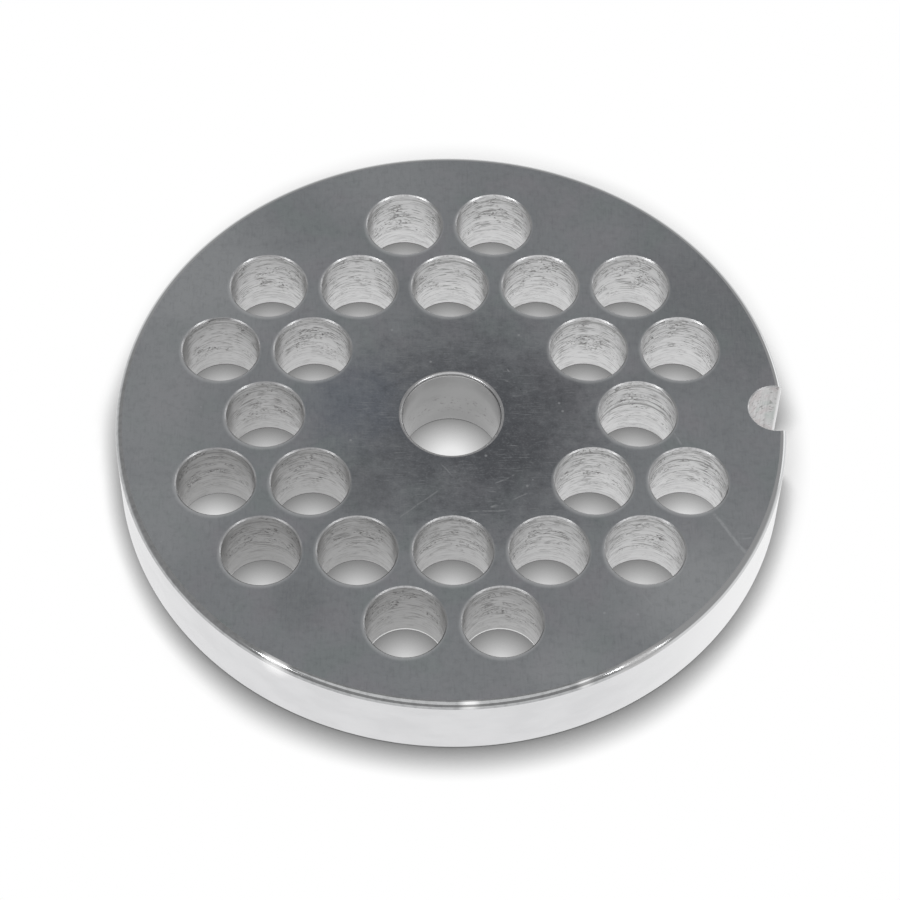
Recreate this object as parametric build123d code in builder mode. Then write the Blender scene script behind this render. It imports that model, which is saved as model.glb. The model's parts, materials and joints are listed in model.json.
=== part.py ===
from build123d import *
import os
from math import ceil, cos, hypot, radians, sin, sqrt

# Perforated plate of a meat grinder, turned, drilled and ground from one blank of steel.
# The bore's axis is Z, the face that lies on a table is at Z = 0, and the middle row of
# feed holes runs along X.

# ---- driving dimensions, in millimetres and degrees ----
plate_diameter = 82.0
plate_thickness = 9.8
rim_rounding = 0.55           # ground round the outside of the upper face
rim_bevel = 0.35              # turned round the outside of the lower face

bore_diameter = 12.0          # for the stud at the end of the feed screw
bore_bevel = 0.55             # at both mouths of the bore

feed_hole_diameter = 9.5
feed_hole_web = 1.9           # least steel between two neighbouring feed holes
feed_hole_edge_break = 0.17   # deburring at both faces
hub_rings = 1                 # rings of hole places left solid round the bore

notch_width = 6.5             # for the key that stops the plate from turning
notch_depth = 4.5             # from the rim to the bottom of the half-round end
notch_angle = 1.2             # how far the notch stands round from the middle row
notch_edge_break = 0.15

# ---- sizes that follow from them ----
plate_radius = plate_diameter / 2
bore_radius = bore_diameter / 2
feed_hole_radius = feed_hole_diameter / 2
feed_hole_pitch = feed_hole_diameter + feed_hole_web
row_spacing = feed_hole_pitch * sqrt(3) / 2
hub_reach = (hub_rings + 0.5) * feed_hole_pitch
outermost_centre = plate_radius - notch_depth - feed_hole_radius
notch_centre_radius = plate_radius - notch_depth + notch_width / 2

# ---- feed hole centres: a staggered pattern of equal pitch. The places next to the bore
# stay solid for the knife's hub, and no hole reaches further out than the notch does in ----
last_row = ceil(plate_radius / row_spacing)
last_step = ceil(plate_radius / feed_hole_pitch)
feed_hole_centres = []
for row in range(-last_row, last_row + 1):
    stagger = 0.5 if row % 2 else 0.0
    for step in range(-last_step, last_step + 1):
        x = (step + stagger) * feed_hole_pitch
        y = row * row_spacing
        if hub_reach < hypot(x, y) < outermost_centre:
            feed_hole_centres.append((x, y))

# ---- the notch's plane: X points outwards through the middle of the notch ----
outwards = Vector(cos(radians(notch_angle)), sin(radians(notch_angle)), 0)


def notch_plane(height, facing):
    """The plane at this height whose origin is the centre of the notch's round end."""
    centre = outwards * notch_centre_radius + Vector(0, 0, height)
    return Plane(origin=centre, x_dir=outwards, z_dir=(0, 0, facing))


def notch_outline(half_width):
    """Round end and straight sides, open to the rim, on the current sketch plane."""
    mouth_reach = notch_depth + notch_width
    Circle(half_width)
    Rectangle(mouth_reach, 2 * half_width, align=(Align.MIN, Align.CENTER))


def circles_of_radius(builder, radius):
    """The circular edges of this radius: both mouths of each hole just drilled."""
    circles = builder.edges().filter_by(GeomType.CIRCLE)
    return circles.filter_by(lambda edge: abs(edge.radius - radius) < 1e-6)


# ---- the plate ----
with BuildPart() as grinder_plate:
    # The turned blank, with the edges of its rim finished before anything is cut from it.
    with BuildSketch():
        Circle(plate_radius)
    extrude(amount=plate_thickness)
    fillet(grinder_plate.edges().sort_by(Axis.Z)[-1], radius=rim_rounding)
    chamfer(grinder_plate.edges().sort_by(Axis.Z)[0], length=rim_bevel)

    # The bore, bevelled at both mouths so that the stud enters freely.
    with Locations(Plane.XY.offset(plate_thickness)):
        Hole(radius=bore_radius)
    chamfer(circles_of_radius(grinder_plate, bore_radius), length=bore_bevel)

    # The feed holes, drilled straight through and deburred at both faces.
    with Locations(Plane.XY.offset(plate_thickness)):
        with Locations(*feed_hole_centres):
            Hole(radius=feed_hole_radius)
    chamfer(circles_of_radius(grinder_plate, feed_hole_radius), length=feed_hole_edge_break)

    # The locating notch, milled straight through the rim.
    with BuildSketch(notch_plane(plate_thickness, 1)):
        notch_outline(notch_width / 2)
    extrude(amount=-plate_thickness, mode=Mode.SUBTRACT)

    # Its edge break at both faces: a bevel that narrows to the notch's own width.
    for height, facing in ((plate_thickness, 1), (0, -1)):
        with BuildSketch(notch_plane(height, facing)):
            notch_outline(notch_width / 2 + notch_edge_break)
        extrude(amount=-notch_edge_break, taper=45, mode=Mode.SUBTRACT)

grinder_plate.part.label = "grinder_plate"

os.makedirs("parts", exist_ok=True)
export_step(grinder_plate.part, "parts/grinder_plate.step")

print("feed holes:", len(feed_hole_centres))
print("volume, mm3:", round(grinder_plate.part.volume, 1))
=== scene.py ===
import json
import math

import bmesh
import bpy
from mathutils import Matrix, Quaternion, Vector


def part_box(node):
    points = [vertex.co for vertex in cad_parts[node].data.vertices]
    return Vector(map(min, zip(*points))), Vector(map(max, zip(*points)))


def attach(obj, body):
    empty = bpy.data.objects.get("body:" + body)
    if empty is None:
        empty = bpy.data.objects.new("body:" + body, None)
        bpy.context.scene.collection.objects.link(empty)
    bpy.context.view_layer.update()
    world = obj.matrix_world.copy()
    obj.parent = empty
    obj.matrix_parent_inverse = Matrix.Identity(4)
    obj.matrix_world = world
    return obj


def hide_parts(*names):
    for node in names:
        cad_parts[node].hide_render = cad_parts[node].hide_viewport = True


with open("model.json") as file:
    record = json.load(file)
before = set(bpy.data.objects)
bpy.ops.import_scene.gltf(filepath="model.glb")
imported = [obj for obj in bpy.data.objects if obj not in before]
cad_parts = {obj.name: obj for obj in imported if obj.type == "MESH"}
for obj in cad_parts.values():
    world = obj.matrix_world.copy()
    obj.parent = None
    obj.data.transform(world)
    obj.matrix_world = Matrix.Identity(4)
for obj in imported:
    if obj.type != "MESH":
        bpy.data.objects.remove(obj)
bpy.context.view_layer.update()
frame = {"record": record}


# ---------------------------------------------------------------------------------------
# The turned blank. The plate starts as a slice of round tool-steel bar, faced and bored on
# a lathe: the rim's upper edge and both mouths of the bore are rounded, the rim's lower
# edge a little less.
# ---------------------------------------------------------------------------------------
MM = 0.001
mounts = {mount["name"]: mount for mount in frame["record"]["mounts"]}
plate_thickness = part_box("grinder_plate")[1].z
plate_radius = mounts["rim"]["dims"]["r_mm"] * MM
bore_radius = mounts["bore"]["dims"]["r_mm"] * MM

rim_rounding = 0.80 * MM
rim_lower_rounding = 0.35 * MM
bore_rounding = 0.44 * MM
rim_facets = 8                 # across each rounding of the rim
bore_facets = 4                # across each rounding of the bore's mouths
turned_facets = 256            # once round the plate
same_place = 0.01 * MM         # points closer together than this count as one
weld_distance = 0.001 * MM


def start_alone():
    """Leaves every object unselected, so that the next operator meets only its own piece."""
    for thing in bpy.context.selected_objects:
        thing.select_set(False)


def hold(piece):
    """Makes one piece the only selected object and the active one."""
    start_alone()
    piece.select_set(True)
    bpy.context.view_layer.objects.active = piece


def edit(piece):
    """Opens one piece in edit mode, with nothing else selected."""
    hold(piece)
    bpy.ops.object.mode_set(mode="EDIT")


def pick(piece, kind, wanted):
    """In edit mode, selects the vertices, edges or faces for which wanted(item) is true."""
    bpy.ops.mesh.select_mode(type={"verts": "VERT", "edges": "EDGE", "faces": "FACE"}[kind])
    bpy.ops.mesh.select_all(action="DESELECT")
    cage = bmesh.from_edit_mesh(piece.data)
    cage.normal_update()
    for item in getattr(cage, kind):
        if wanted(item):
            item.select_set(True)
    bmesh.update_edit_mesh(piece.data)


def corner_at(radius, height):
    """A test for the profile's corner at this distance from the axis and this height."""
    def wanted(vertex):
        at_radius = abs(vertex.co.x - radius) < same_place
        return at_radius and abs(vertex.co.z - height) < same_place
    return wanted


start_alone()
bpy.ops.mesh.primitive_plane_add(size=1)
plate = bpy.context.object
plate.name = "ground_plate"
edit(plate)
bpy.ops.mesh.select_all(action="SELECT")
bpy.ops.transform.resize(value=(plate_radius - bore_radius, plate_thickness, 1))
for vertex in bmesh.from_edit_mesh(plate.data).verts:
    across, up = vertex.co.x, vertex.co.y
    vertex.co = ((plate_radius + bore_radius) / 2 + across, 0, plate_thickness / 2 + up)
profile_corners = (
    (plate_radius, plate_thickness, rim_rounding, rim_facets),
    (plate_radius, 0, rim_lower_rounding, rim_facets),
    (bore_radius, plate_thickness, bore_rounding, bore_facets),
    (bore_radius, 0, bore_rounding, bore_facets),
)
for radius, height, rounding, facets in profile_corners:
    pick(plate, "verts", corner_at(radius, height))
    bpy.ops.mesh.bevel(offset=rounding, segments=facets, affect="VERTICES")
bpy.ops.mesh.select_all(action="SELECT")
bpy.ops.mesh.delete(type="ONLY_FACE")
bpy.ops.mesh.select_all(action="SELECT")
bpy.ops.mesh.spin(
    steps=turned_facets, angle=2 * math.pi, center=(0, 0, 0), axis=(0, 0, 1)
)
bpy.ops.mesh.select_all(action="SELECT")
bpy.ops.mesh.remove_doubles(threshold=weld_distance)
bpy.ops.mesh.normals_make_consistent(inside=False)
bpy.ops.object.mode_set(mode="OBJECT")


# ---------------------------------------------------------------------------------------
# The feed holes. Each is drilled straight through with a twist drill, whose lips leave
# uneven rings in the wall, and then deburred at both faces.
# ---------------------------------------------------------------------------------------
feed_hole_radius = 4.75 * MM
feed_hole_edge_break = 0.17 * MM
drill_facets = 80
drill_rings = 26
ring_depth = 0.11 * MM         # from the crest to the root of the deepest drill ring
ring_length = 7.0 * MM         # how far round the wall one ring runs before it fades
ring_spacing = 0.45 * MM

hole_centres = []
for opening in frame["record"]["physics"]["openings"]:
    if opening["name"].startswith("feed_hole"):
        low, high = opening["box_m"]
        hole_centres.append(((low[0] + high[0]) / 2, (low[1] + high[1]) / 2))


def flare_ends(cutter, centre, half_width, edge_break):
    """Widens both ends of a straight cutter at 45 degrees, so that it also cuts the edge break."""
    reach = 4 * edge_break
    growth = (half_width + reach) / half_width
    for side in (-1, 1):
        end = plate_thickness - edge_break if side > 0 else edge_break
        pick(cutter, "faces", lambda face: face.normal.z * side > 0.9)
        bpy.ops.mesh.extrude_region_move(TRANSFORM_OT_translate={"value": (0, 0, side * reach)})
        bpy.ops.transform.resize(
            value=(growth, growth, 1), center_override=(centre[0], centre[1], end)
        )


def upright(edge):
    """An edge that runs up a cutter's wall."""
    return abs(edge.verts[0].co.z - edge.verts[1].co.z) > MM


def drill_at(x, y):
    """One feed hole's cutter, with its wall divided into rings."""
    start_alone()
    bpy.ops.mesh.primitive_cylinder_add(
        vertices=drill_facets,
        radius=feed_hole_radius,
        depth=plate_thickness - 2 * feed_hole_edge_break,
        location=(x, y, plate_thickness / 2),
    )
    drill = bpy.context.object
    bpy.ops.object.transform_apply(location=True, rotation=True, scale=True)
    edit(drill)
    pick(drill, "edges", upright)
    bpy.ops.mesh.subdivide(number_cuts=drill_rings)
    bpy.ops.object.mode_set(mode="OBJECT")
    wall = drill.vertex_groups.new(name="wall")
    inner = 2 * feed_hole_edge_break
    rings = [
        vertex.index
        for vertex in drill.data.vertices
        if inner < vertex.co.z < plate_thickness - inner
    ]
    wall.add(rings, 1.0, "REPLACE")
    edit(drill)
    flare_ends(drill, (x, y), feed_hole_radius, feed_hole_edge_break)
    bpy.ops.object.mode_set(mode="OBJECT")
    return drill


drills = [drill_at(x, y) for x, y in hole_centres]
hold(drills[0])
for drill in drills:
    drill.select_set(True)
bpy.ops.object.join()
drill_set = bpy.context.object

bpy.ops.object.empty_add(type="PLAIN_AXES", location=(0, 0, 0))
ring_scale = bpy.context.object
ring_scale.scale = (1, 1, ring_spacing / ring_length)
ring_marks = bpy.data.textures.new("drill_rings", type="CLOUDS")
ring_marks.noise_scale = ring_length
ring_marks.noise_depth = 2
ring_cut = drill_set.modifiers.new("drill_rings", "DISPLACE")
ring_cut.texture = ring_marks
ring_cut.texture_coords = "OBJECT"
ring_cut.texture_coords_object = ring_scale
ring_cut.vertex_group = "wall"
ring_cut.mid_level = 0.5
ring_cut.strength = ring_depth
hold(drill_set)
bpy.ops.object.modifier_apply(modifier=ring_cut.name)
bpy.data.objects.remove(ring_scale)


# ---------------------------------------------------------------------------------------
# The locating notch. A half-round slot milled straight down through the rim, for the key
# in the grinder's head that stops the plate from turning. The corners of its mouth are
# broken, and so are its edges at both faces.
# ---------------------------------------------------------------------------------------
notch_x, notch_y = mounts["key_notch"]["pos_m"][:2]
notch_half_width = mounts["key_notch"]["dims"]["r_mm"] * MM
notch_edge_break = 0.16 * MM
notch_reach = 8 * MM           # how far the milling cutter passes outside the rim
notch_turn = math.atan2(notch_y, notch_x)
mill_facets = 40
smooth_angle = math.radians(40)
flat_face_weight = 90          # how strongly the large flat faces set the shading beside them

start_alone()
bpy.ops.mesh.primitive_cylinder_add(
    vertices=mill_facets,
    radius=notch_half_width,
    depth=plate_thickness - 2 * notch_edge_break,
    rotation=(0, 0, notch_turn),
    location=(notch_x, notch_y, plate_thickness / 2),
)
mill = bpy.context.object
mill.name = "mill"
bpy.ops.object.transform_apply(location=True, rotation=True, scale=True)
outwards = Vector((notch_x, notch_y, 0)).normalized()
edit(mill)


def outer_half(face):
    """The half of the round cutter that faces out of the plate."""
    return abs(face.normal.z) < 0.1 and face.normal.dot(outwards) > 0


def picked_vertices(cage):
    """The vertices of an edit mesh's selected faces."""
    return {vertex for face in cage.faces if face.select for vertex in face.verts}


def from_notch_axis(vertex):
    """How far a vertex lies outwards from the notch's axis, and its offset to the side."""
    beyond = vertex.co - Vector((notch_x, notch_y, vertex.co.z))
    outward = beyond.dot(outwards)
    return outward, beyond - outwards * outward


corner_radius = math.sqrt(plate_radius ** 2 - notch_half_width ** 2)
mouth = corner_radius - math.hypot(notch_x, notch_y) - notch_edge_break
pick(mill, "faces", outer_half)
cage = bmesh.from_edit_mesh(mill.data)
for vertex in picked_vertices(cage):
    outward, sideways = from_notch_axis(vertex)
    if outward > same_place:
        vertex.co = Vector((notch_x, notch_y, vertex.co.z)) + sideways + outwards * mouth
bmesh.update_edit_mesh(mill.data)
pick(mill, "faces", lambda face: face.normal.dot(outwards) > 0.9)
bpy.ops.mesh.extrude_region_move(TRANSFORM_OT_translate={"value": outwards * notch_reach})
cage = bmesh.from_edit_mesh(mill.data)
for vertex in picked_vertices(cage):
    _, sideways = from_notch_axis(vertex)
    vertex.co += sideways * notch_reach / notch_half_width
bmesh.update_edit_mesh(mill.data)
flare_ends(mill, (notch_x, notch_y), notch_half_width, notch_edge_break)
bpy.ops.object.mode_set(mode="OBJECT")

for name, cutter in (("drilled", drill_set), ("milled", mill)):
    cut = plate.modifiers.new(name, "BOOLEAN")
    cut.operation = "DIFFERENCE"
    cut.solver = "EXACT"
    cut.object = cutter
    hold(plate)
    bpy.ops.object.modifier_apply(modifier=name)
    bpy.data.objects.remove(cutter)

edit(plate)
bpy.ops.mesh.select_all(action="SELECT")
bpy.ops.mesh.dissolve_degenerate(threshold=weld_distance)
bpy.ops.object.mode_set(mode="OBJECT")
bpy.ops.object.shade_smooth_by_angle(angle=smooth_angle)
flat_shading = plate.modifiers.new("flat_faces", "WEIGHTED_NORMAL")
flat_shading.keep_sharp = True
flat_shading.weight = flat_face_weight
bpy.ops.object.modifier_apply(modifier=flat_shading.name)


# ---------------------------------------------------------------------------------------
# The ground faces. Both are lapped flat after hardening, which leaves a dull grey mottle,
# fine crossing scratches and small pits. Use has darkened the middle, where the knife's
# hub runs, and scored a few longer scratches. The bright lips of the feed holes are a
# painted highlight.
# ---------------------------------------------------------------------------------------
class Finish:
    """A material under construction: each method adds nodes and returns the output to link on."""

    def __init__(self, name, metallic, roughness):
        self.material = bpy.data.materials.new(name)
        self.material.use_nodes = True
        self.tree = self.material.node_tree
        self.surface = self.tree.nodes["Principled BSDF"]
        self.surface.inputs["Metallic"].default_value = metallic
        self.surface.inputs["Roughness"].default_value = roughness
        self.place = self.tree.nodes.new("ShaderNodeTexCoord").outputs["Object"]

    def node(self, kind, **settings):
        made = self.tree.nodes.new(kind)
        for name, value in settings.items():
            setattr(made, name, value)
        return made

    def give(self, socket, value):
        """Links an output into a socket, or sets a constant there."""
        if isinstance(value, bpy.types.NodeSocket):
            self.tree.links.new(value, socket)
        else:
            socket.default_value = value

    def sums(self, operation, *values, clamp=False):
        made = self.node("ShaderNodeMath", operation=operation, use_clamp=clamp)
        for socket, value in zip(made.inputs, values):
            self.give(socket, value)
        return made.outputs["Value"]

    def times(self, value, factor):
        return self.sums("MULTIPLY", value, factor)

    def line(self, value, factor, plus):
        """value * factor + plus"""
        return self.sums("MULTIPLY_ADD", value, factor, plus)

    def most(self, *amounts):
        """The largest of several amounts at each point."""
        largest = amounts[0]
        for amount in amounts[1:]:
            largest = self.sums("MAXIMUM", largest, amount)
        return largest

    def off(self, value, target):
        """How far a value is from its target, on either side."""
        return self.sums("ABSOLUTE", self.sums("SUBTRACT", value, target))

    def vectors(self, operation, *values, result="Vector"):
        made = self.node("ShaderNodeVectorMath", operation=operation)
        for socket, value in zip(made.inputs, values):
            self.give(socket, value)
        return made.outputs[result]

    def distance(self, point):
        """How far each place on the piece is from a point."""
        return self.vectors("DISTANCE", self.place, point, result="Value")

    def length(self, vector):
        return self.vectors("LENGTH", vector, result="Value")

    def part(self, vector, axis):
        """A vector's X, Y or Z."""
        made = self.node("ShaderNodeSeparateXYZ")
        self.give(made.inputs["Vector"], vector)
        return made.outputs[axis]

    def facing(self):
        """The direction that the surface looks in."""
        return self.node("ShaderNodeTexCoord").outputs["Normal"]

    def fade(self, value, start, end):
        """0 at start, 1 at end and smooth between; start may lie above end."""
        made = self.node("ShaderNodeMapRange", interpolation_type="SMOOTHSTEP")
        self.give(made.inputs["Value"], value)
        made.inputs["From Min"].default_value = min(start, end)
        made.inputs["From Max"].default_value = max(start, end)
        made.inputs["To Min"].default_value = 0.0 if start < end else 1.0
        made.inputs["To Max"].default_value = 1.0 if start < end else 0.0
        return made.outputs["Result"]

    def stretched(self, size, turn=0.0):
        """The piece's coordinates in units of size, one length or one for each axis."""
        lengths = size if isinstance(size, tuple) else (size, size, size)
        made = self.node("ShaderNodeMapping")
        self.give(made.inputs["Vector"], self.place)
        made.inputs["Rotation"].default_value = (0, 0, turn)
        made.inputs["Scale"].default_value = tuple(1 / length for length in lengths)
        return made.outputs["Vector"]

    def noise(self, size, detail=2.0, turn=0.0):
        """Soft random values from 0 to 1, whose patches have this size."""
        made = self.node("ShaderNodeTexNoise")
        self.give(made.inputs["Vector"], self.stretched(size, turn))
        made.inputs["Scale"].default_value = 1.0
        made.inputs["Detail"].default_value = detail
        return made.outputs["Fac"]

    def specks(self, spacing, radius, share):
        """Round spots of about this radius, in the given share of cells of this spacing."""
        cells = self.node("ShaderNodeTexVoronoi")
        self.give(cells.inputs["Vector"], self.stretched(spacing))
        cells.inputs["Scale"].default_value = 1.0
        chance = self.node("ShaderNodeSeparateColor")
        self.give(chance.inputs["Color"], cells.outputs["Color"])
        chosen = self.fade(chance.outputs["Red"], 1 - share, 1 - share * 0.6)
        spot = self.fade(cells.outputs["Distance"], radius / spacing, 0.4 * radius / spacing)
        return self.times(spot, chosen)

    def mix(self, amount, below, above, strength=None):
        """The colour below where amount is 0, and that share of the colour above where it is 1."""
        made = self.node("ShaderNodeMix", data_type="RGBA")
        self.give(made.inputs["Factor"], self.times(amount, strength) if strength else amount)
        self.give(made.inputs["A"], self.colour(below))
        self.give(made.inputs["B"], self.colour(above))
        return made.outputs["Result"]

    def colour(self, value):
        return (*value, 1.0) if isinstance(value, tuple) else value

    def bump(self, height, depth, onto=None):
        """A bump of this depth, on top of an earlier one."""
        made = self.node("ShaderNodeBump")
        made.inputs["Strength"].default_value = 1.0
        made.inputs["Distance"].default_value = depth
        self.give(made.inputs["Height"], height)
        if onto is not None:
            self.give(made.inputs["Normal"], onto)
        return made.outputs["Normal"]

    def apply(self, colour, roughness=None, normal=None):
        self.give(self.surface.inputs["Base Color"], self.colour(colour))
        if roughness is not None:
            self.give(self.surface.inputs["Roughness"], roughness)
        if normal is not None:
            self.give(self.surface.inputs["Normal"], normal)
        return self.material


def on_face(x, y):
    """A point of the upper face, given in millimetres."""
    return (x * MM, y * MM, plate_thickness)


def patch(finish, centre, reach):
    """A soft, ragged patch on the upper face; its centre and reach are in millimetres."""
    ragged = finish.noise(2.5 * MM, detail=4)
    uneven = finish.line(ragged, 0.5 * reach * MM, finish.distance(on_face(*centre)))
    return finish.fade(uneven, 1.20 * reach * MM, 0.40 * reach * MM)


def scratch(finish, start, end, width):
    """1 along a straight scratch between two points; all in millimetres. It is broken and soft."""
    start, end = Vector((*start, 0)) * MM, Vector((*end, 0)) * MM
    run = end - start
    end_fade = 0.5 * MM
    level_out = finish.node("ShaderNodeMapping")
    finish.give(level_out.inputs["Vector"], finish.vectors("SUBTRACT", finish.place, start))
    level_out.inputs["Rotation"].default_value = (0, 0, -math.atan2(run.y, run.x))
    along = finish.part(level_out.outputs["Vector"], "X")
    across = finish.part(level_out.outputs["Vector"], "Y")
    wander = finish.line(finish.noise(4 * MM), 0.6 * MM, across)
    core = finish.fade(finish.off(wander, 0.3 * MM), width * MM, 0.3 * (width * MM))
    begun = finish.fade(along, 0, end_fade)
    ended = finish.fade(along, run.length, run.length - end_fade)
    worn = finish.fade(finish.noise(0.8 * MM), 0.30, 0.52)
    return finish.times(finish.times(core, worn), finish.times(begun, ended))


ground = Finish("ground_face", metallic=1.0, roughness=0.34)
lapped_grey = (0.385, 0.400, 0.418)
hub_grey = (0.180, 0.188, 0.204)
dull_and_shaded_grey = (0.270, 0.280, 0.295)
bright_grey = (0.52, 0.535, 0.55)
green_grey = (0.345, 0.385, 0.385)
mauve_grey = (0.405, 0.398, 0.425)
rubbed_and_lit_grey = (0.485, 0.500, 0.515)
blue_film = (0.225, 0.250, 0.295)
pit_black = (0.08, 0.08, 0.085)
worn_dark = (0.12, 0.125, 0.135)
lip_highlight = (0.78, 0.79, 0.80)

# The mottle: broad clouds, faint tints, the dark hub and the larger stains and rubbed areas;
# the pale patches along the left side are painted light, and the dull patch at the back
# right is painted shade.
clouds = ground.noise(11 * MM, detail=3)
face_colour = ground.mix(ground.fade(clouds, 0.40, 0.80), lapped_grey, dull_and_shaded_grey, strength=0.45)
tints = ground.noise(6 * MM, detail=3, turn=0.4)
for start, end, tint in ((0.52, 0.66, green_grey), (0.48, 0.34, mauve_grey)):
    face_colour = ground.mix(ground.fade(tints, start, end), face_colour, tint, strength=0.55)
hub_wear = patch(ground, (2.6, -2.0), 24)
face_colour = ground.mix(hub_wear, face_colour, hub_grey)
face_patches = (
    ((-38.0, 1.0), 17, 0.60, rubbed_and_lit_grey),
    ((-32.0, 21.0), 18, 0.95, rubbed_and_lit_grey),
    ((-8.0, 38.0), 13, 0.45, rubbed_and_lit_grey),
    ((-36.0, -15.0), 12, 0.60, rubbed_and_lit_grey),
    ((34.0, -16.0), 8, 0.30, rubbed_and_lit_grey),
    ((2.0, -37.0), 13, 0.25, rubbed_and_lit_grey),
    ((13.0, -37.0), 9, 0.55, rubbed_and_lit_grey),
    ((28.5, -26.0), 13, 1.00, rubbed_and_lit_grey),
    ((33.0, 17.0), 18, 0.60, dull_and_shaded_grey),
    ((33.3, 10.9), 3, 0.40, green_grey),
    ((8.0, -6.0), 7, 0.35, worn_dark),
    ((12.5, 3.0), 8, 0.25, worn_dark),
    ((-11.0, -11.0), 6, 0.30, worn_dark),
    ((0.0, -9.5), 4, 0.20, rubbed_and_lit_grey),
    ((-18.0, -27.0), 6, 0.20, worn_dark),
    ((-12.0, 2.0), 10, 0.60, blue_film),
)
for centre, reach, strength, tone in face_patches:
    face_colour = ground.mix(patch(ground, centre, reach), face_colour, tone, strength=strength)

# The lapping's grain. Each row is a pattern, the values between which it fades in, how much
# of it shows on the hub and away from it, and its tone.
grain = ground.noise((0.26 * MM, 0.20 * MM, 1 * MM), detail=3, turn=0.9)
blotches = ground.noise((0.9 * MM, 0.7 * MM, 1 * MM), detail=4, turn=0.5)
strokes = ground.noise((0.22 * MM, 1.6 * MM, 1 * MM), detail=2, turn=0.15)
face_grains = (
    (grain, 0.52, 0.72, 0.20, 0.05, bright_grey),
    (grain, 0.48, 0.28, 0.30, 0.09, worn_dark),
    (blotches, 0.50, 0.68, 0.34, 0.10, worn_dark),
    (blotches, 0.46, 0.30, 0.12, 0.09, bright_grey),
    (strokes, 0.54, 0.74, 0.00, 0.12, worn_dark),
    (strokes, 0.46, 0.28, 0.00, 0.10, bright_grey),
)
for pattern, start, end, on_hub, off_hub, tone in face_grains:
    share = ground.line(hub_wear, on_hub - off_hub, off_hub)
    amount = ground.times(ground.fade(pattern, start, end), share)
    face_colour = ground.mix(amount, face_colour, tone)

# Small pits, most of them on the hub, and painted glints: bright specks, some on small dents.
pits = ground.times(ground.specks(2.2 * MM, 0.12 * MM, 0.30), ground.line(hub_wear, 0.7, 0.1))
face_colour = ground.mix(pits, face_colour, pit_black)
glint_dents = (
    (-2.5, 7.9), (9.0, -10.6), (13.2, 1.6), (13.6, 0.4), (-12.3, -3.9),
    (-7.3, 12.8), (8.5, 12.0), (4.1, -6.2), (17.6, -28.5), (21.5, -28.7),
)
glints = ground.most(
    ground.specks(3.4 * MM, 0.14 * MM, 0.30),
    *(ground.fade(ground.distance(on_face(*dent)), 0.22 * MM, 0.08 * MM) for dent in glint_dents),
)
face_colour = ground.mix(glints, face_colour, bright_grey, strength=0.7)

# Hairline scratches that cross in three directions.
crossing = []
for turn, gate in ((0.9, 0.65), (1.8, 0.65), (2.5, 0.66)):
    hair = ground.noise((2.4 * MM, 0.08 * MM, 3 * MM), detail=1, turn=turn)
    broken = ground.fade(ground.noise(3 * MM, turn=turn), 0.5, 0.62)
    crossing.append(ground.times(ground.fade(hair, gate, gate + 0.07), broken))
hairlines = ground.times(ground.most(*crossing), ground.line(hub_wear, 0.6, 0.3))
face_colour = ground.mix(hairlines, face_colour, bright_grey, strength=0.6)

# A painted highlight round the lip of each feed hole, a little wider at the front left of each.
lip_lean = (-0.12 * MM, -0.25 * MM)
lip_outer = 5.25 * MM
lip_inner = 4.70 * MM
hole_lip_highlights = ground.most(*(
    ground.fade(
        ground.distance((x + lip_lean[0], y + lip_lean[1], plate_thickness)), lip_outer, lip_inner
    )
    for x, y in hole_centres
))
face_colour = ground.mix(hole_lip_highlights, face_colour, lip_highlight, strength=0.50)

# The longer scratches: both ends, the width and the strength.
long_scratches = (
    ((31.1, -14.5), (34.9, -20.7), 0.28, 1.00),
    ((33.8, -18.3), (36.2, -18.1), 0.16, 0.60),
    ((33.8, -17.5), (35.5, -17.6), 0.12, 0.40),
    ((26.9, -2.4), (28.0, -4.8), 0.18, 0.65),
    ((22.1, -25.7), (23.3, -27.6), 0.14, 0.35),
    ((-6.5, -15.2), (-1.5, -11.2), 0.12, 0.40),
    ((6.8, 6.9), (7.3, 5.9), 0.12, 0.80),
    ((6.4, 4.9), (8.1, 4.8), 0.12, 0.60),
    ((4.2, -13.8), (6.2, -13.1), 0.20, 0.70),
    ((1.8, -14.3), (6.8, -14.2), 0.10, 0.60),
    ((5.0, -10.3), (7.7, -8.9), 0.14, 0.50),
    ((7.1, -12.6), (9.1, -11.5), 0.12, 0.45),
    ((-1.5, -7.4), (0.0, -9.2), 0.10, 0.45),
)
scored = ground.most(*(
    ground.times(scratch(ground, start, end, width), strength)
    for start, end, width, strength in long_scratches
))
face_colour = ground.mix(scored, face_colour, bright_grey)

face_roughness = ground.line(clouds, 0.10, ground.line(grain, 0.12, 0.24))
face_normal = ground.bump(grain, 0.003 * MM)
face_normal = ground.bump(pits, -0.01 * MM, onto=face_normal)
face_normal = ground.bump(ground.most(hairlines, scored), -0.006 * MM, onto=face_normal)
ground_face = ground.apply(face_colour, face_roughness, face_normal)


# ---------------------------------------------------------------------------------------
# The rim and the bore. The rim is cylindrically ground, so it is brighter than the faces
# and carries fine lines round the plate; its roundings are duller, with a few painted
# highlights where the lamps catch them. The bore is reamed, with pits half way down.
# ---------------------------------------------------------------------------------------
rim = Finish("ground_rim", metallic=1.0, roughness=0.22)
rim_silver = (0.70, 0.70, 0.71)
rim_grey = (0.66, 0.66, 0.67)
rim_lit_right = (0.83, 0.83, 0.835)
rim_hot_spot = (0.98, 0.98, 0.98)
rim_lines = rim.noise((12 * MM, 12 * MM, 0.10 * MM), detail=3)
rim_patches = rim.noise((5 * MM, 5 * MM, 3 * MM), detail=2)
rim_x = rim.part(rim.place, "X")
rim_colour = rim.mix(rim.fade(rim_patches, 0.35, 0.7), rim_silver, rim_grey)
# Painted light: the rim is lighter towards the right of the plate.
rim_colour = rim.mix(rim.fade(rim_x, 14 * MM, 36 * MM), rim_colour, rim_lit_right)
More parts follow.
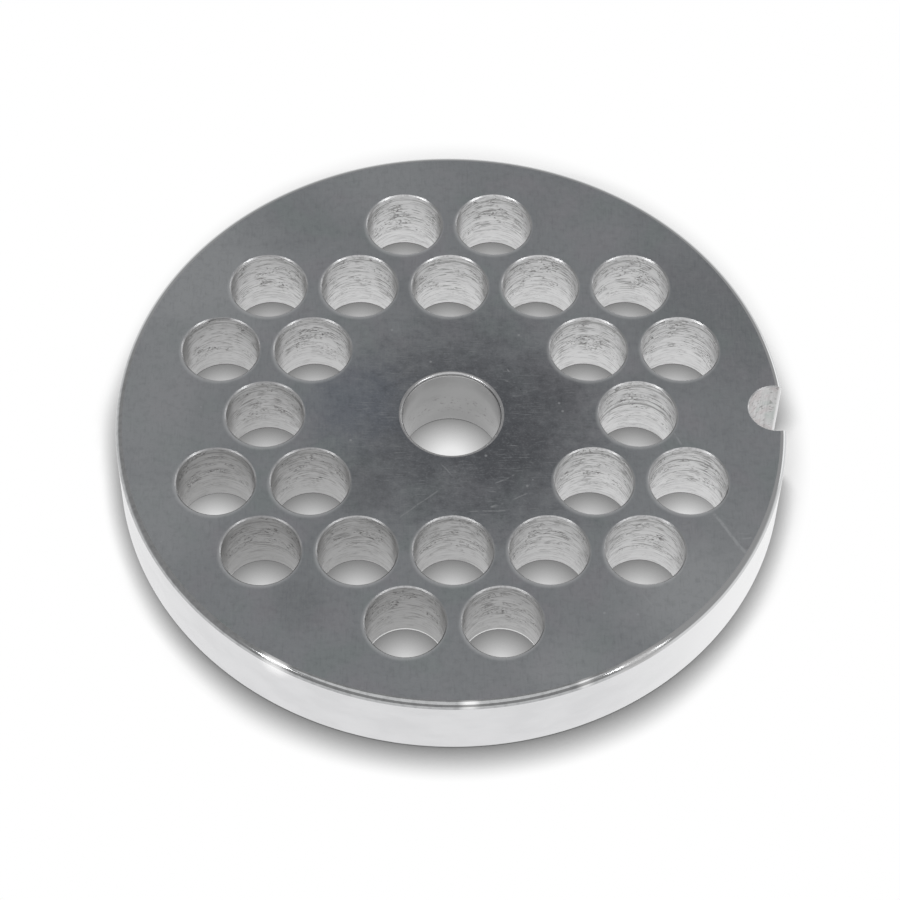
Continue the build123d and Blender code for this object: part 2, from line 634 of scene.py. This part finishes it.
# A painted highlight on the rim at the front left, where the left lamp catches it.
rim_colour = rim.mix(patch(rim, (-20.8, -34.9), 3.2), rim_colour, rim_hot_spot)
rim_colour = rim.mix(rim.fade(rim_lines, 0.55, 0.75), rim_colour, rim_grey, strength=0.35)
ground_rim = rim.apply(
    rim_colour,
    rim.line(rim_lines, 0.10, 0.17),
    rim.bump(rim_lines, 0.002 * MM),
)

edges = Finish("rounded_edges", metallic=1.0, roughness=0.26)
edge_steel = (0.45, 0.455, 0.46)
edge_wear = (0.37, 0.375, 0.38)
edge_painted_light = (0.60, 0.605, 0.61)
edge_grain = edges.noise(0.7 * MM, detail=3)
edge_x = edges.part(edges.place, "X")
edge_y = edges.part(edges.place, "Y")
edge_colour = edges.mix(edges.fade(edge_grain, 0.4, 0.7), edge_steel, edge_wear)
# Painted light: the roundings are lighter towards the back and towards the right of the plate.
for lit_side in (
    edges.fade(edge_y, 2 * MM, 20 * MM),
    edges.fade(edge_x, 12 * MM, 28 * MM),
):
    edge_colour = edges.mix(lit_side, edge_colour, edge_painted_light)
# Each painted highlight where a lamp catches the roundings: its centre and reach in
# millimetres, its tone and how much rougher it is.
highlight_spots = (
    ((1.7, -40.6), 1.7, 0.85, 0.00),
    ((15.1, -37.8), 1.5, 0.80, 0.00),
    ((21.5, -34.5), 5.5, 0.52, 0.44),
    ((-20.8, -34.8), 2.6, 0.85, 0.36),
)
edge_roughness = edges.line(edge_grain, 0.08, 0.06)
for centre, reach, tone, rougher in highlight_spots:
    highlight_spot = patch(edges, centre, reach)
    edge_colour = edges.mix(highlight_spot, edge_colour, (tone, tone, tone))
    edge_roughness = edges.line(highlight_spot, rougher, edge_roughness)
rounded_edges = edges.apply(edge_colour, edge_roughness, edges.bump(edge_grain, 0.0008 * MM))

mouth_edge = Finish("bore_edge", metallic=1.0, roughness=0.24)
mouth_steel = (0.50, 0.50, 0.505)
mouth_wear = (0.42, 0.42, 0.425)
mouth_painted_light = (0.72, 0.72, 0.72)
mouth_painted_shade = (0.30, 0.30, 0.305)
mouth_grain = mouth_edge.noise(0.6 * MM, detail=3)
mouth_nx = mouth_edge.part(mouth_edge.facing(), "X")
mouth_nz = mouth_edge.part(mouth_edge.facing(), "Z")
mouth_colour = mouth_edge.mix(mouth_edge.fade(mouth_grain, 0.4, 0.7), mouth_steel, mouth_wear)
# Painted light on the lower part of the bore's roundings, and painted shade where they face left.
mouth_colour = mouth_edge.mix(mouth_edge.fade(mouth_nz, 0.62, 0.35), mouth_colour, mouth_painted_light)
mouth_colour = mouth_edge.mix(mouth_edge.fade(mouth_nx, -0.45, -0.80), mouth_colour, mouth_painted_shade)
bore_edge = mouth_edge.apply(
    mouth_colour,
    mouth_edge.line(mouth_grain, 0.10, 0.29),
    mouth_edge.bump(mouth_grain, 0.001 * MM),
)

reamed = Finish("reamed_bore", metallic=1.0, roughness=0.40)
reamed_steel = (0.375, 0.375, 0.375)
reamed_dull = (0.31, 0.31, 0.31)
reamed_pit = (0.20, 0.19, 0.19)
reamed_rings = reamed.noise((5 * MM, 5 * MM, 2.5 * MM), detail=3)
reamed_spots = reamed.noise((0.5 * MM, 0.5 * MM, 0.35 * MM), detail=3)
reamed_z = reamed.part(reamed.place, "Z")
pitted_band = reamed.fade(reamed.off(reamed_z, 3.6 * MM), 2.4 * MM, 0.8 * MM)
pitted = reamed.times(reamed.fade(reamed_spots, 0.56, 0.68), pitted_band)
reamed_colour = reamed.mix(
    reamed.fade(reamed_rings, 0.4, 0.7), reamed_steel, reamed_dull, strength=0.4
)
reamed_colour = reamed.mix(pitted, reamed_colour, reamed_pit, strength=0.6)
reamed_bore = reamed.apply(
    reamed_colour,
    reamed.line(reamed_rings, 0.15, 0.30),
    reamed.bump(reamed_spots, 0.002 * MM),
)


# ---------------------------------------------------------------------------------------
# The cut walls. The feed holes are left as drilled, pale and rough with dark torn spots
# and rings; the notch is left as milled, with marks that run straight down its wall. The
# deburred edges of both are smoother and catch the light.
# ---------------------------------------------------------------------------------------
drilled = Finish("drilled_wall", metallic=0.85, roughness=0.48)
drilled_pale = (0.84, 0.84, 0.842)
drilled_grey = (0.56, 0.56, 0.56)
drilled_painted_shade = (0.30, 0.298, 0.295)
drilled_line_and_shade = (0.26, 0.257, 0.255)
drilled_foot_highlight = (0.95, 0.95, 0.95)
torn_dark = (0.10, 0.095, 0.09)
broad_rings = drilled.noise((7 * MM, 7 * MM, 0.8 * MM), detail=2)
soft_rings = drilled.noise((5 * MM, 5 * MM, 0.22 * MM), detail=3)
line_rings = drilled.noise((1.6 * MM, 1.6 * MM, 0.15 * MM), detail=3)
ring_where = drilled.noise((2.2 * MM, 2.2 * MM, 1.1 * MM), detail=2)
torn = drilled.noise((0.36 * MM, 0.36 * MM, 0.15 * MM), detail=3)
torn_where = drilled.noise((2.6 * MM, 2.6 * MM, 1.4 * MM), detail=2)
wall_x = drilled.part(drilled.place, "X")
wall_y = drilled.part(drilled.place, "Y")
wall_z = drilled.part(drilled.place, "Z")
wall_nx = drilled.part(drilled.facing(), "X")
upper = drilled.fade(wall_z, 1.5 * MM, 4.5 * MM)

# Pale metal with soft rings, and painted shade in the holes at the front left.
shaded_side = drilled.fade(
    drilled.line(wall_y, 0.9, drilled.times(wall_x, 0.8)), 19 * MM, -46 * MM
)
drilled_colour = drilled.mix(
    drilled.fade(soft_rings, 0.48, 0.70), drilled_pale, drilled_grey, strength=0.40
)
drilled_colour = drilled.mix(
    drilled.fade(broad_rings, 0.50, 0.72), drilled_colour, drilled_grey, strength=0.20
)
drilled_colour = drilled.mix(shaded_side, drilled_colour, drilled_painted_shade, strength=0.80)

# Dark rings: fine broken ones, three deeper grooves, and one round every hole near the face.
cut_lines = drilled.times(
    drilled.fade(line_rings, 0.54, 0.61), drilled.fade(ring_where, 0.30, 0.50)
)
cut_lines = drilled.times(cut_lines, drilled.line(upper, 0.6, 0.4))
ring_waver = 1.2 * MM          # how much a groove rises and falls round its hole
deep_grooves = (
    ((22.8, 0.0), 5.3, 0.10),
    ((22.8, 0.0), 6.1, 0.05),
    ((28.5, -9.9), 7.4, 0.05),
)
for centre, groove_height, half_width in deep_grooves:
    groove_middle = (centre[0] * MM, centre[1] * MM, groove_height * MM)
    beyond = drilled.vectors("SUBTRACT", drilled.place, groove_middle)
    off_x, off_y, off_z = (drilled.part(beyond, axis) for axis in "XYZ")
    squares = drilled.sums("ADD", drilled.times(off_x, off_x), drilled.times(off_y, off_y))
    this_hole = drilled.fade(drilled.sums("SQRT", squares), 6.0 * MM, 5.6 * MM)
    off_groove = drilled.off(drilled.line(broad_rings, ring_waver, off_z), ring_waver / 2)
    groove = drilled.fade(off_groove, 2 * half_width * MM, half_width * MM)
    cut_lines = drilled.most(cut_lines, drilled.times(groove, this_hole))
first_ring = drilled.off(
    drilled.line(broad_rings, ring_waver, wall_z), plate_thickness - 0.3 * MM
)
first_ring = drilled.fade(first_ring, 0.14 * MM, 0.06 * MM)
cut_lines = drilled.most(cut_lines, drilled.times(first_ring, 0.7))
drilled_colour = drilled.mix(cut_lines, drilled_colour, drilled_line_and_shade, strength=0.72)

# Painted shade on the upper flanks of each wall, least on the right of the plate.
flank_shade = drilled.times(drilled.fade(drilled.sums("ABSOLUTE", wall_nx), 0.80, 0.97), upper)
to_right = drilled.fade(wall_x, 2 * MM, 14 * MM)
flank_shade = drilled.times(flank_shade, drilled.line(to_right, -0.65, 1.0))
drilled_colour = drilled.mix(flank_shade, drilled_colour, drilled_line_and_shade, strength=0.65)

# Torn spots, and a painted highlight along the foot of each wall in the front rows.
torn_spots = drilled.times(drilled.fade(torn, 0.55, 0.62), drilled.fade(torn_where, 0.49, 0.62))
torn_spots = drilled.times(torn_spots, drilled.line(upper, 0.8, 0.2))
drilled_colour = drilled.mix(torn_spots, drilled_colour, torn_dark, strength=0.75)
foot_highlight = drilled.times(
    drilled.fade(wall_z, 0.50 * MM, 0.34 * MM), drilled.fade(wall_y, -14 * MM, -26 * MM)
)
drilled_colour = drilled.mix(foot_highlight, drilled_colour, drilled_foot_highlight)
drilled_normal = drilled.bump(soft_rings, 0.02 * MM)
drilled_normal = drilled.bump(cut_lines, -0.01 * MM, onto=drilled_normal)
drilled_normal = drilled.bump(torn_spots, -0.03 * MM, onto=drilled_normal)
drilled_wall = drilled.apply(
    drilled_colour, drilled.line(soft_rings, 0.2, 0.38), drilled_normal
)

milled = Finish("milled_notch", metallic=0.85, roughness=0.48)
milled_steel = (0.66, 0.655, 0.655)
milled_grey = (0.50, 0.50, 0.50)
milled_green = (0.53, 0.57, 0.55)
milled_mauve = (0.59, 0.545, 0.545)
milled_pit = (0.22, 0.22, 0.21)
milled_chip = (0.78, 0.78, 0.78)
milled_mouth_highlight = (0.84, 0.84, 0.84)
milled_marks = milled.noise((0.22 * MM, 0.22 * MM, 6 * MM), detail=2)
milled_spots = milled.noise((0.5 * MM, 0.5 * MM, 0.4 * MM), detail=3)
milled_tints = milled.noise(2.2 * MM, detail=3)
milled_colour = milled.mix(
    milled.fade(milled_marks, 0.45, 0.65), milled_steel, milled_grey, strength=0.5
)
for pattern, start, end, tone, strength in (
    (milled_tints, 0.52, 0.62, milled_green, 0.6),
    (milled_tints, 0.48, 0.38, milled_mauve, 0.6),
    (milled_spots, 0.56, 0.68, milled_pit, 0.6),
    (milled_spots, 0.44, 0.34, milled_chip, 0.3),
):
    milled_colour = milled.mix(
        milled.fade(pattern, start, end), milled_colour, tone, strength=strength
    )
# A painted highlight on the wall just inside the notch's mouth.
from_bore = milled.length(milled.vectors("MULTIPLY", milled.place, (1, 1, 0)))
notch_mouth_highlight = milled.fade(from_bore, plate_radius - 0.42 * MM, plate_radius - 0.28 * MM)
milled_colour = milled.mix(notch_mouth_highlight, milled_colour, milled_mouth_highlight)
milled_notch = milled.apply(
    milled_colour,
    milled.line(milled_marks, 0.2, 0.38),
    milled.bump(milled_marks, 0.01 * MM),
)

deburred = Finish("deburred_edge", metallic=1.0, roughness=0.34)
burr_shade_facing_left = (0.36, 0.362, 0.365)
burr_highlight = (0.80, 0.80, 0.805)
burr_light_left_of_plate = (0.50, 0.50, 0.505)
burr_light_facing_right = (0.54, 0.545, 0.55)
deburred_dull = (0.34, 0.34, 0.345)
burr_grain = deburred.noise(0.35 * MM, detail=3)
burr_x = deburred.part(deburred.place, "X")
burr_nx = deburred.part(deburred.facing(), "X")
# Painted light and shade by the way each deburred edge faces: dark where it faces left, bright where
# it faces front or back, a middle tone where it faces right, and a middle tone on the holes at the
# plate's left.
burr_colour = deburred.mix(
    deburred.fade(burr_nx, -0.55, -0.15), burr_shade_facing_left, burr_highlight
)
burr_colour = deburred.mix(
    deburred.fade(burr_x, -7 * MM, -20 * MM), burr_colour, burr_light_left_of_plate
)
burr_colour = deburred.mix(deburred.fade(burr_nx, 0.15, 0.55), burr_colour, burr_light_facing_right)
burr_colour = deburred.mix(
    deburred.fade(burr_grain, 0.42, 0.66), burr_colour, deburred_dull, strength=0.4
)
deburred_edge = deburred.apply(
    burr_colour,
    deburred.line(burr_grain, 0.2, 0.26),
    deburred.bump(burr_grain, 0.004 * MM),
)

notch_burr = Finish("notch_edge", metallic=1.0, roughness=0.30)
notch_burr_steel = (0.66, 0.66, 0.665)
notch_burr_dull = (0.44, 0.44, 0.445)
notch_burr_grain = notch_burr.noise(0.5 * MM, detail=3)
notch_edge = notch_burr.apply(
    notch_burr.mix(
        notch_burr.fade(notch_burr_grain, 0.42, 0.66), notch_burr_steel, notch_burr_dull
    ),
    notch_burr.line(notch_burr_grain, 0.2, 0.24),
    notch_burr.bump(notch_burr_grain, 0.004 * MM),
)

finishes = (
    ground_face, ground_rim, rounded_edges, reamed_bore, drilled_wall, milled_notch,
    deburred_edge, notch_edge, bore_edge,
)
for finish in finishes:
    plate.data.materials.append(finish)

# How far a face leans: 1 lies level and 0 stands upright.
level_tilt = 0.9999            # the two ground faces, and nothing else, are as level as this
wall_tilt = 0.02               # the straight walls are more upright than this
milled_tilt = 0.3              # the notch's wall, with its mouth's corners
rounding_margin = 1.1          # a rounding's finish reaches this much past the rounding


def finish_of(face):
    """Which finish a face of the plate has, from its place and the way it looks."""
    from_axis = math.hypot(face.center.x, face.center.y)
    tilt = abs(face.normal.z)
    if tilt > level_tilt:
        return ground_face
    if from_axis < bore_radius + rounding_margin * bore_rounding:
        return bore_edge if face.normal.z > wall_tilt else reamed_bore
    outward_part = face.normal.xy.dot(face.center.xy) / from_axis
    at_rim = from_axis > plate_radius - rounding_margin * rim_rounding
    if at_rim and outward_part > 0.75 * (1 - tilt):
        return ground_rim if tilt < wall_tilt else rounded_edges
    to_notch = math.hypot(face.center.x - notch_x, face.center.y - notch_y)
    if to_notch < 2 * notch_half_width:
        return milled_notch if tilt < milled_tilt else notch_edge
    near_face = min(face.center.z, plate_thickness - face.center.z)
    return deburred_edge if near_face < feed_hole_edge_break else drilled_wall


for face in plate.data.polygons:
    face.material_index = finishes.index(finish_of(face))
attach(plate, "root")
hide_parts("grinder_plate")


# ---------------------------------------------------------------------------------------
# The table. A wide, matt white sheet that the plate lies on. It darkens close to the plate
# and in the holes, is plain white further out, and is bright where the steel mirrors it.
# ---------------------------------------------------------------------------------------
table_radius = 4.0
table_sides = 96
table_drop = 0.005 * MM        # keeps the table clear of the plate's lower face
black = (0, 0, 0)
white = (1, 1, 1)
paper_white = (0.98, 0.98, 0.98)
start_alone()
bpy.ops.mesh.primitive_circle_add(
    vertices=table_sides, radius=table_radius, fill_type="NGON", location=(0, 0, -table_drop)
)
table = bpy.context.object
table.name = "table"
bpy.ops.object.transform_apply(location=True, rotation=True, scale=True)
paint = Finish("table_white", metallic=0.0, roughness=1.0)
paint.surface.inputs["Specular IOR Level"].default_value = 0.0
table_x = paint.part(paint.place, "X")
table_y = paint.part(paint.place, "Y")
from_middle = paint.length(paint.place)
past_rim = paint.fade(from_middle, plate_radius - 1.2 * MM, plate_radius - 0.2 * MM)

# The contact shade: deeper outside the rim than in the holes, and weaker at both sides of
# the plate's front half.
nearby = paint.node("ShaderNodeAmbientOcclusion", samples=16)
nearby.inputs["Distance"].default_value = 4.6 * MM
closed_in = paint.sums("POWER", nearby.outputs["AO"], paint.line(past_rim, 0.45, 1.30))
to_side = paint.fade(paint.sums("ABSOLUTE", table_x), 22 * MM, 37 * MM)
to_front = paint.fade(table_y, 8 * MM, -6 * MM)
off_front = paint.fade(table_y, -30 * MM, -10 * MM)
beside = paint.times(to_front, paint.line(off_front, 0.55, 0.45))
opened = paint.line(paint.line(beside, 0.42, 0.06), to_side, 1.0)
under_plate = paint.line(paint.fade(from_middle, 8 * MM, 12 * MM), -0.10, -0.07)
opened = paint.line(under_plate, paint.sums("SUBTRACT", 1.0, past_rim), opened)
contact_shade = paint.sums("MULTIPLY", closed_in, opened, clamp=True)
paint.apply(paint.mix(contact_shade, black, paper_white))

# Past an oval round the plate the table gives off its own plain white, and it does so
# everywhere for what the steel mirrors.
oval_move = (-0.7 * MM, -3.2 * MM, 0)
oval_scale = (1.09, 1, 1)
oval = paint.node("ShaderNodeMapping", vector_type="POINT")
paint.give(oval.inputs["Vector"], paint.place)
oval.inputs["Location"].default_value = oval_move
oval.inputs["Scale"].default_value = oval_scale
past_shade = paint.fade(paint.length(oval.outputs["Vector"]), 44.8 * MM, 48.9 * MM)
ray = paint.node("ShaderNodeLightPath")
in_metal = paint.most(ray.outputs["Is Glossy Ray"], ray.outputs["Is Transmission Ray"])
mirrored = paint.times(in_metal, paint.line(past_rim, 0.15, 0.85))
shown_level = paint.most(
    paint.line(past_shade, 0.6, 0.4), paint.line(past_rim, -0.85, 0.85)
)
shown = paint.times(ray.outputs["Is Camera Ray"], shown_level)
glow = paint.node("ShaderNodeEmission")
glow.inputs["Strength"].default_value = 1.0
glow_shade = paint.most(contact_shade, in_metal)
paint.give(glow.inputs["Color"], paint.mix(glow_shade, black, white))
choose = paint.node("ShaderNodeMixShader")
paint.give(choose.inputs["Fac"], paint.most(mirrored, shown))
paint.give(choose.inputs[1], paint.surface.outputs["BSDF"])
paint.give(choose.inputs[2], glow.outputs["Emission"])
paint.give(paint.tree.nodes["Material Output"].inputs["Surface"], choose.outputs["Shader"])
table.data.materials.append(paint.material)


# ---------------------------------------------------------------------------------------
# The lights. A plain white room, brighter low down on its far side, with a wide soft light
# overhead, one small lamp at the front left and one at the front right, and a weak one
# behind.
# ---------------------------------------------------------------------------------------
room_level = 0.43
world = bpy.data.worlds.new("studio")
bpy.context.scene.world = world
world.use_nodes = True
sky = world.node_tree
room = sky.nodes["Background"]
room.inputs["Color"].default_value = (1, 1, 1, 1)
heading = sky.nodes.new("ShaderNodeTexCoord")
sky_parts = sky.nodes.new("ShaderNodeSeparateXYZ")
sky.links.new(heading.outputs["Generated"], sky_parts.inputs["Vector"])


def sky_fade(axis, start, end, first, last):
    """Smoothly from first to last, while the direction's part along an axis goes from start to end."""
    made = sky.nodes.new("ShaderNodeMapRange")
    made.interpolation_type = "SMOOTHSTEP"
    made.inputs["From Min"].default_value = start
    made.inputs["From Max"].default_value = end
    made.inputs["To Min"].default_value = first
    made.inputs["To Max"].default_value = last
    sky.links.new(sky_parts.outputs[axis], made.inputs["Value"])
    return made.outputs["Result"]


low_down = sky_fade("Z", 0.05, 0.45, 0.5, 0.0)
far_side = sky_fade("Y", -0.2, 0.5, 0.0, 1.0)
sky_level = sky.nodes.new("ShaderNodeMath")
sky_level.operation = "MULTIPLY_ADD"
sky.links.new(low_down, sky_level.inputs[0])
sky.links.new(far_side, sky_level.inputs[1])
sky_level.inputs[2].default_value = room_level
sky.links.new(sky_level.outputs["Value"], room.inputs["Strength"])

# Each lamp: its name, its direction and height in degrees, its spread in degrees and its strength.
lamps = (
    ("lamp_above", 0, 68, 52, 0.40),
    ("lamp_left", -54, 42, 3.5, 0.55),
    ("lamp_right", 55, 42, 3.5, 0.50),
    ("lamp_behind", 125, 10, 30, 0.12),
)


def direction_to(azimuth, elevation):
    """The direction at these angles: azimuth 0 is the front, and it grows to the right."""
    return Vector((
        math.sin(azimuth) * math.cos(elevation),
        -math.cos(azimuth) * math.cos(elevation),
        math.sin(elevation),
    ))


for name, azimuth, elevation, spread, strength in lamps:
    bpy.ops.object.light_add(type="SUN")
    lamp = bpy.context.object
    lamp.name = name
    lamp.data.energy = strength
    lamp.data.angle = math.radians(spread)
    towards_lamp = direction_to(math.radians(azimuth), math.radians(elevation))
    lamp.rotation_mode = "QUATERNION"
    lamp.rotation_quaternion = towards_lamp.to_track_quat("Z", "Y")


# ---------------------------------------------------------------------------------------
# The camera. It looks down on the plate from the front, from hand's reach, with a long
# lens and a slight roll.
# ---------------------------------------------------------------------------------------
camera_distance = 0.376712
camera_azimuth = math.radians(-1.666)
camera_elevation = math.radians(55.517)
camera_roll = math.radians(1.320)
camera_lens = 120.368          # in millimetres, on a sensor 36 mm wide
aim = Vector((-0.047 * MM, 1.372 * MM, 0))
bpy.ops.object.camera_add()
camera = bpy.context.object
camera.data.sensor_width = 36
camera.data.lens = camera_lens
camera.data.clip_start = 0.01
camera.data.clip_end = 20
back = direction_to(camera_azimuth, camera_elevation)
camera.location = aim + back * camera_distance
camera.rotation_mode = "QUATERNION"
camera.rotation_quaternion = back.to_track_quat("Z", "Y") @ Quaternion((0, 0, 1), camera_roll)
bpy.context.scene.camera = camera
bpy.context.scene.view_settings.view_transform = "Standard"
